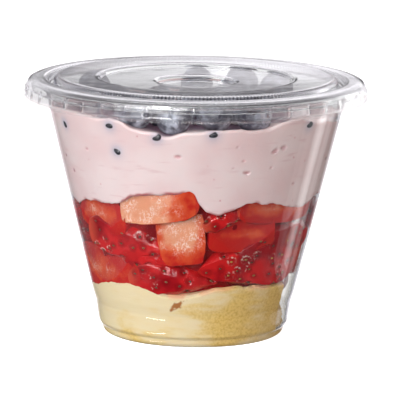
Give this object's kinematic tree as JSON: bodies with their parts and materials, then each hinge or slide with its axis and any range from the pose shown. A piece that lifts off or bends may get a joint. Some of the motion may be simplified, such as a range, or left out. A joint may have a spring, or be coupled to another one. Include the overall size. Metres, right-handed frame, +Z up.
{
  "type": "lidded dessert cup",
  "caption": "Clear plastic dessert cup with a flat press-on lid, holding layers of sponge cake, cut strawberries and pink cream, topped with blueberries.",
  "frame": {"origin": "centre of the foot ring, on the surface that the cup stands on", "axes": "+Z up along the cup's axis, -Y towards the side that the picture shows, +X to the right of it"},
  "size_m": [0.1036, 0.1036, 0.0772],
  "materials": {
    "clear_cup": "clear, glossy",
    "clear_lid": "clear, glossy",
    "sponge": "soft crumb of sponge cake",
    "strawberry": "wet cut fruit",
    "cream": "smooth pink cream with dark seeds",
    "blueberry": "dark skin with pale bloom"
  },
  "bodies": {
    "root": {"cup": "clear_cup", "lid": "clear_lid", "sponge_cake": "sponge", "strawberry_layer": "strawberry", "pink_cream": "cream", "blueberry_01": "blueberry", "blueberry_02": "blueberry", "blueberry_03": "blueberry", "blueberry_04": "blueberry", "blueberry_05": "blueberry", "blueberry_06": "blueberry", "blueberry_07": "blueberry", "blueberry_08": "blueberry", "blueberry_09": "blueberry", "blueberry_10": "blueberry", "blueberry_11": "blueberry", "blueberry_12": "blueberry", "blueberry_13": "blueberry", "blueberry_14": "blueberry", "blueberry_15": "blueberry", "blueberry_16": "blueberry", "blueberry_17": "blueberry", "blueberry_18": "blueberry", "blueberry_19": "blueberry", "blueberry_20": "blueberry"}
  },
  "joints": []
}
